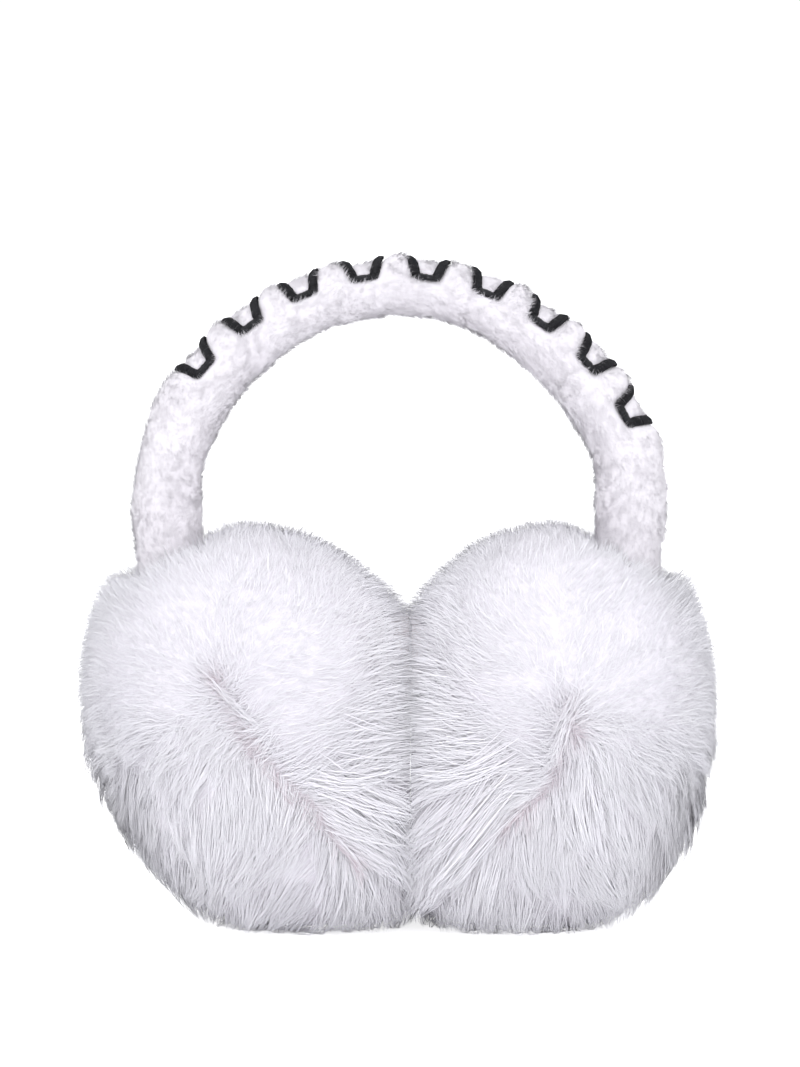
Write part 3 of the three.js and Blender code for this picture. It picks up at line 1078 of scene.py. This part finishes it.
@dataclass(frozen=True)
class EarFacing:
    """The short-haired cushion on the side of a pad that lies on the ear."""

    side: Side
    slimness: float = 0.95
    segments: int = 96
    rim_share: float = 0.12
    ring_count: int = 3
    ring_share: float = 0.2

    def make(self, material: Material) -> None:
        """Makes the cushion, a round with soft rims, which stands for the facing's CAD node.

        Args:
            material: The plush's finish.
        """
        low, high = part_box(f"{self.side.word}_ear_facing")
        centre = (low + high) / 2
        half = (high - low) / 2
        work = bmesh.new()
        bmesh.ops.create_cone(work, cap_ends=True, segments=self.segments, radius1=1, radius2=1, depth=2)
        rims = [edge for edge in work.edges if abs(edge.verts[0].co.z - edge.verts[1].co.z) < 0.5]
        options = {"offset_type": "OFFSET", "affect": "EDGES", "profile": 0.5, "material": -1}
        bmesh.ops.bevel(work, geom=rims, offset=self.rim_share, segments=4, **options)
        caps = [face for face in work.faces if len(face.verts) > 4]
        for _ in range(self.ring_count):
            bmesh.ops.inset_region(work, faces=caps, thickness=self.ring_share, depth=0.0)
        for vertex in work.verts:
            turned = vertex.co.zxy
            vertex.co = centre + turned * half * Vector((1, self.slimness, self.slimness))
        piece = add_object(f"{self.side.word}_ear_plush", mesh_of(work, "facing"), material)
        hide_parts(f"{self.side.word}_ear_facing")


def set_sockets(node: Node, constants: Constants) -> None:
    """Sets the constants on a node's inputs, each by the input's name or number."""
    for socket, value in constants.items():
        node.inputs[socket].default_value = value


def add_node(tree: NodeTree, kind: str, constants: Constants | None = None, **options: object) -> Node:
    """Adds a node.

    Args:
        tree: The tree that it goes into.
        kind: Its type, without the word ShaderNode in front.
        constants: The constants on its inputs.
        options: Its own settings, such as the attribute that it reads.

    Returns:
        The node.
    """
    node = tree.nodes.new(f"ShaderNode{kind}")
    for option, setting in options.items():
        setattr(node, option, setting)
    set_sockets(node, constants or {})
    return node


def link(tree: NodeTree, *wires: tuple[Node, str, Node, str | int]) -> None:
    """Links nodes of a tree: each wire is a node, its output, the next node and that one's input."""
    for source, output, target, target_input in wires:
        tree.links.new(source.outputs[output], target.inputs[target_input])


def new_material(name: str, constants: Constants) -> tuple[Material, NodeTree, Node]:
    """Starts a material.

    Args:
        name: Its name.
        constants: The constants on its shader's inputs.

    Returns:
        The material, its tree and its shader.
    """
    material = bpy.data.materials.new(name)
    material.use_nodes = True
    shader = material.node_tree.nodes["Principled BSDF"]
    set_sockets(shader, constants)
    return material, material.node_tree, shader


def pile_group() -> NodeTree:
    """Builds the group that varies the colour and the height of short pile.

    Returns:
        The node group, built once.
    """
    group = bpy.data.node_groups.get(PILE_GROUP)
    if group:
        return group
    group = bpy.data.node_groups.new(PILE_GROUP, "ShaderNodeTree")
    for name, kind in (("Light", "Color"), ("Shadow", "Color"), ("Tuft Size", "Float")):
        group.interface.new_socket(name, in_out="INPUT", socket_type=f"NodeSocket{kind}")
    for name, kind in (("Colour", "Color"), ("Height", "Float")):
        group.interface.new_socket(name, in_out="OUTPUT", socket_type=f"NodeSocket{kind}")
    given = group.nodes.new("NodeGroupInput")
    result = group.nodes.new("NodeGroupOutput")
    place = add_node(group, "TexCoord")
    tufts = add_node(group, "TexNoise", {"Detail": 6.0})
    patches = add_node(group, "TexNoise", {"Scale": 38.0, "Detail": 3.0})
    ramp = add_node(group, "MapRange", {"From Min": 0.35, "From Max": 0.65})
    colour = add_node(group, "Mix", data_type="RGBA")
    link(
        group,
        (place, "Object", tufts, "Vector"),
        (place, "Object", patches, "Vector"),
        (given, "Tuft Size", tufts, "Scale"),
        (patches, "Fac", ramp, "Value"),
        (ramp, "Result", colour, "Factor"),
        (given, "Shadow", colour, "A"),
        (given, "Light", colour, "B"),
        (colour, "Result", result, "Colour"),
        (tufts, "Fac", result, "Height"),
    )
    return group


@dataclass(frozen=True)
class PlushFinish:
    """Short pile on a surface: two near whites in soft patches, and a tufted bump."""

    name: str
    light: Colour
    shadow: Colour
    tuft_size: float = 260.0
    roughness: float = 0.9
    sheen: float = 0.25
    bump: float = 0.5
    bump_height: float = 0.0012

    def material(self) -> Material:
        """Builds the material.

        Returns:
            The material.
        """
        constants = {"Roughness": self.roughness, "Specular IOR Level": 0.2}
        constants |= {"Sheen Weight": self.sheen, "Sheen Roughness": 0.6}
        material, tree, shader = new_material(self.name, constants)
        pile = add_node(tree, "Group", node_tree=pile_group())
        colours = {"Light": (*self.light, 1), "Shadow": (*self.shadow, 1)}
        set_sockets(pile, {**colours, "Tuft Size": self.tuft_size})
        bump = add_node(tree, "Bump", {"Strength": self.bump, "Distance": self.bump_height})
        link(
            tree,
            (pile, "Colour", shader, "Base Color"),
            (pile, "Height", bump, "Height"),
            (bump, "Normal", shader, "Normal"),
        )
        return material


@dataclass(frozen=True)
class HairFinish:
    """Single hairs: one white at the root and one at the tip, each hair a little unlike its neighbours; the
    darker root is painted shade deep in the coat, and a darker colour along the partings is painted shade.
    """

    name: str
    # The root colour is the darker one: painted shade for the depth of the coat.
    root: Colour
    tip: Colour
    dull: Colour
    # Painted shade: the colour that the hairs are darkened by along the partings.
    groove: Colour = (0.7, 0.6, 0.63)
    roughness: float = 0.55
    root_end: float = 0.1
    tip_start: float = 0.85

    def material(self) -> Material:
        """Builds the material.

        Returns:
            The material.
        """
        constants = {"Roughness": self.roughness, "Specular IOR Level": 0.3}
        material, tree, shader = new_material(self.name, constants)
        names = ("along", "tint", "groove")
        along, tint, groove = (add_node(tree, "Attribute", attribute_name=name) for name in names)
        reach = add_node(tree, "MapRange", {"From Min": self.root_end, "From Max": self.tip_start})
        # From the darker root to the tip: painted shade that lifts towards the tips.
        root_shade_to_tip = add_node(tree, "Mix", data_type="RGBA")
        set_sockets(root_shade_to_tip, {"A": (*self.root, 1), "B": (*self.tip, 1)})
        between, shaded = (add_node(tree, "Mix", data_type="RGBA", blend_type="MULTIPLY") for _ in range(2))
        set_sockets(between, {"B": (*self.dull, 1)})
        # Painted shade along the partings, where the attribute groove is high.
        set_sockets(shaded, {"B": (*self.groove, 1)})
        link(
            tree,
            (along, "Fac", reach, "Value"),
            (reach, "Result", root_shade_to_tip, "Factor"),
            (root_shade_to_tip, "Result", between, "A"),
            (tint, "Fac", between, "Factor"),
            (between, "Result", shaded, "A"),
            (groove, "Fac", shaded, "Factor"),
            (shaded, "Result", shader, "Base Color"),
        )
        return material


@dataclass(frozen=True)
class ThreadFinish:
    """Black embroidery thread: each stitch a little lighter or darker, with a twist in its bump."""

    name: str = "black_thread"
    dark: Colour = (0.006, 0.006, 0.008)
    light: Colour = (0.02, 0.02, 0.024)
    roughness: float = 0.42
    twist_scale: float = 2600.0
    twist: float = 0.4
    twist_height: float = 0.0002

    def material(self) -> Material:
        """Builds the material.

        Returns:
            The material.
        """
        constants = {"Roughness": self.roughness, "Specular IOR Level": 0.35}
        material, tree, shader = new_material(self.name, constants)
        tint = add_node(tree, "Attribute", attribute_name="tint")
        colour = add_node(tree, "Mix", {"A": (*self.dark, 1), "B": (*self.light, 1)}, data_type="RGBA")
        place = add_node(tree, "TexCoord")
        twist = add_node(tree, "TexNoise", {"Scale": self.twist_scale})
        bump = add_node(tree, "Bump", {"Strength": self.twist, "Distance": self.twist_height})
        link(
            tree,
            (tint, "Fac", colour, "Factor"),
            (colour, "Result", shader, "Base Color"),
            (place, "Object", twist, "Vector"),
            (twist, "Fac", bump, "Height"),
            (bump, "Normal", shader, "Normal"),
        )
        return material


@dataclass(frozen=True)
class SoftLight:
    """A square area light that faces the earmuffs; its place and size are in metres."""

    name: str
    place: tuple[float, float, float]
    size: float
    power: float
    colour: Colour = (0.98, 0.975, 1.0)
    aim: tuple[float, float, float] = (0.0, 0.0, 0.1)

    def build(self) -> None:
        """Makes the light."""
        light = bpy.data.lights.new(self.name, "AREA")
        light.energy = self.power
        light.size = self.size
        light.color = self.colour
        lamp = bpy.data.objects.new(self.name, light)
        lamp.location = self.place
        lamp.rotation_euler = (Vector(self.aim) - Vector(self.place)).to_track_quat("-Z", "Y").to_euler()
        bpy.context.scene.collection.objects.link(lamp)


@dataclass(frozen=True)
class Studio:
    """The camera, the pale floor and the soft lights, in metres."""

    lights: tuple[SoftLight, ...]
    distance: float = 2.0
    elevation: float = 3.5
    look_at: tuple[float, float, float] = (0.0005, 0.0, 0.1335)
    frame_height: float = 0.3628
    sensor: float = 36.0
    far: float = 60.0
    floor_half: float = 30.0
    floor_glow: float = 0.8
    floor_colour: Colour = (0.93, 0.93, 0.94)
    sky_colour: Colour = (0.975, 0.98, 1.0)
    sky_strength: float = 1.0
    sky_seen: float = 1.05

    def build(self) -> None:
        """Makes everything round the earmuffs."""
        self.add_camera()
        self.add_floor()
        self.add_sky()
        for light in self.lights:
            light.build()
        scene = bpy.context.scene
        scene.view_settings.view_transform = "Standard"
        scene.view_settings.look = "None"

    def add_camera(self) -> None:
        """Makes the camera, nearly level and straight in front."""
        camera = bpy.data.cameras.new("camera")
        camera.sensor_width = self.sensor
        camera.lens = self.sensor * self.distance / self.frame_height
        camera.clip_end = self.far
        viewer = bpy.data.objects.new("camera", camera)
        angle = math.radians(self.elevation)
        back = Vector((0, -math.cos(angle), math.sin(angle)))
        viewer.location = Vector(self.look_at) + back * self.distance
        viewer.rotation_euler = (-back).to_track_quat("-Z", "Y").to_euler()
        bpy.context.scene.collection.objects.link(viewer)
        bpy.context.scene.camera = viewer

    def add_floor(self) -> None:
        """Makes the wide pale floor, which glows a little where it is seen."""
        work = bmesh.new()
        bmesh.ops.create_grid(work, x_segments=1, y_segments=1, size=self.floor_half)
        constants = {"Base Color": (*self.floor_colour, 1), "Roughness": 0.8}
        constants |= {"Emission Color": (1, 1, 1, 1)}
        material, tree, shader = new_material("floor", constants)
        seen = add_node(tree, "LightPath")
        glow = add_node(tree, "Math", {1: self.floor_glow}, operation="MULTIPLY")
        link(tree, (seen, "Is Camera Ray", glow, 0), (glow, "Value", shader, "Emission Strength"))
        mesh = mesh_of(work, "floor")
        mesh.materials.append(material)
        floor = bpy.data.objects.new("floor", mesh)
        bpy.context.scene.collection.objects.link(floor)

    def add_sky(self) -> None:
        """Makes the white surroundings."""
        world = bpy.data.worlds.new("studio")
        world.use_nodes = True
        tree = world.node_tree
        background = tree.nodes["Background"]
        set_sockets(background, {"Color": (*self.sky_colour, 1)})
        seen = add_node(tree, "LightPath")
        strength = add_node(tree, "MapRange", {"To Min": self.sky_strength, "To Max": self.sky_seen})
        link(tree, (seen, "Is Camera Ray", strength, "Value"), (strength, "Result", background, "Strength"))
        bpy.context.scene.world = world


LIGHTS = (
    SoftLight("key", (-0.25, -1.7, 0.9), size=1.6, power=5.0),
    SoftLight("low", (0.05, -1.8, 0.25), size=0.8, power=10.5),
    SoftLight("top", (0.0, 0.2, 1.7), size=1.4, power=2.5),
)
COATS = (
    Coat("undercoat", 49000, 0.34, 6.5, 0.8, 11.0, 1.0, (0.0, 1.0), 0.6, 0.4, 1.0, 21),
    Coat("guard_hair", 15500, 0.28, 8.0, 0.2, 25.0, 0.7, (0.0, 0.4, 0.72, 1.0), 1.2, 0.22, 0.5, 22),
)
LOCKS = (
    Lock(110, 0.34, 3.2, 1.5, 0.35),
    Lock(1500, 0.55, 1.4, 0.8, 0.3),
)


def pad_shapes(anchor: Anchor) -> tuple[PadShape, PadShape]:
    """The two pads, which differ a little in size and lean and in how their hair parts.

    Args:
        anchor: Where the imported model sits.

    Returns:
        The left pad and the right pad.
    """
    left = PadShape(
        Side.LEFT, anchor, middle=57.0, reach_out=57.0, reach_in=66.0, lean=0.09,
        fullness_above=2.3, fullness_below=1.9,
        partings=(
            ((-62.0, 92.0), (-58.0, 84.0), (-52.0, 72.0), (-46.5, 63.0)),
            ((-46.5, 63.0), (-30.0, 47.0), (-17.5, 32.0), (-7.5, 20.0)),
        ),
        tongue=((-57.0, 84.0), (-43.0, 69.0)), tongue_width=3.8,
        tufts=((-94.0, 118.0, 7.0, 4.5), (-107.0, 51.0, 5.0, 4.5)),
    )
    right = PadShape(
        Side.RIGHT, anchor, middle=53.0, reach_out=53.0, reach_in=60.0, lean=0.02,
        fullness_above=2.4, fullness_below=2.15,
        partings=(
            ((55.0, 80.0), (59.0, 75.0), (61.0, 68.0)),
            ((55.0, 80.0), (52.0, 66.0), (50.5, 53.0), (42.0, 43.0), (34.5, 34.0)),
        ),
        tongue=((56.0, 79.0), (47.0, 54.0)), tongue_width=5.5,
        tufts=((96.0, 119.0, 8.0, 4.5), (108.0, 56.0, 4.0, 3.0)),
    )
    return left, right


def main() -> None:
    """Builds the earmuffs and their studio."""
    logging.basicConfig(level=logging.INFO, format="%(name)s %(message)s")
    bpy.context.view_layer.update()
    Studio(LIGHTS).build()
    anchor = Anchor.from_frame()
    band = BandShape(anchor)
    plush = PlushFinish("white_plush", (0.82, 0.795, 0.83), (0.78, 0.75, 0.79)).material()
    # Each hair finish is darker at the root than at the tip: painted shade deep in the pile and the coat.
    pile = HairFinish("white_pile", (0.805, 0.78, 0.815), (0.855, 0.83, 0.87), (0.965, 0.96, 0.97)).material()
    whites = ((0.94, 0.92, 0.965), (0.968, 0.965, 0.995), (0.972, 0.965, 0.99))
    hair = HairFinish("white_hair", *whites).material()
    # The under-fur is a little darker than the hair: painted shade where the core shows between the hairs.
    under = PlushFinish("under_fur_shade", (0.89, 0.86, 0.92), (0.85, 0.82, 0.88)).material()
    facing = PlushFinish("ear_plush", (0.9, 0.84, 0.86), (0.85, 0.78, 0.8)).material()
    thread = ThreadFinish().material()

    motif = Motif(band)
    headband = Headband(band, motif)
    headband.make_skin(plush)
    headband.make_pile(pile)
    for number in range(band.motif_count):
        motif.make(number, thread)

    for shape in pad_shapes(anchor):
        pad = FurPad(shape, band, COATS, LOCKS)
        pad.make_core(under)
        pad.make_coats(hair)
        EarFacing(shape.side).make(facing)


if __name__ == "__main__":
    main()
